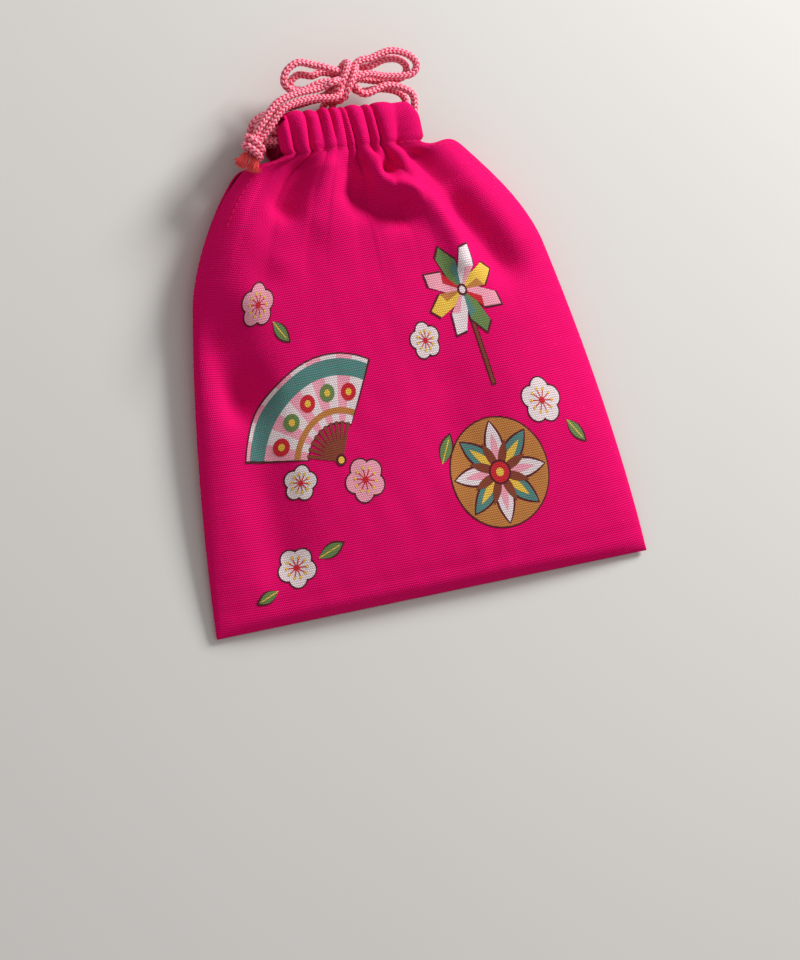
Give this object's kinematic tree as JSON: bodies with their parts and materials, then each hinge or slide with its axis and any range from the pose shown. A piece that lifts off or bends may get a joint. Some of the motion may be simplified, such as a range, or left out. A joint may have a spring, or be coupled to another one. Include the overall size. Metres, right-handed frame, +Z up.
{
  "type": "kinchaku drawstring pouch",
  "caption": "Flat cotton canvas drawstring pouch drawn shut, with gathered casings front and back and two braided cords tied in a bow.",
  "frame": {"origin": "centre of the cloth's footprint, on the surface that the pouch lies on (cords left out of the measure)", "axes": "+X to the right of the front panel, +Y from the bottom fold towards the mouth, +Z up, out of the front panel"},
  "size_m": [0.1998, 0.2299, 0.0299],
  "materials": {
    "canvas": "plain woven cotton canvas, matte, bright pink",
    "braid": "round braid of crimson and pale pink strands, slight sheen"
  },
  "bodies": {
    "root": {"pouch_body": "canvas", "left_drawcord": "braid", "right_drawcord": "braid", "bow_knot": "braid", "left_loop_outer": "braid", "left_loop_inner": "braid", "right_loop_outer": "braid", "right_loop_inner": "braid", "front_tail_a": "braid", "front_tail_b": "braid", "front_end_knot": "braid", "back_tail_a": "braid", "back_tail_b": "braid", "back_end_knot": "braid"}
  },
  "joints": []
}
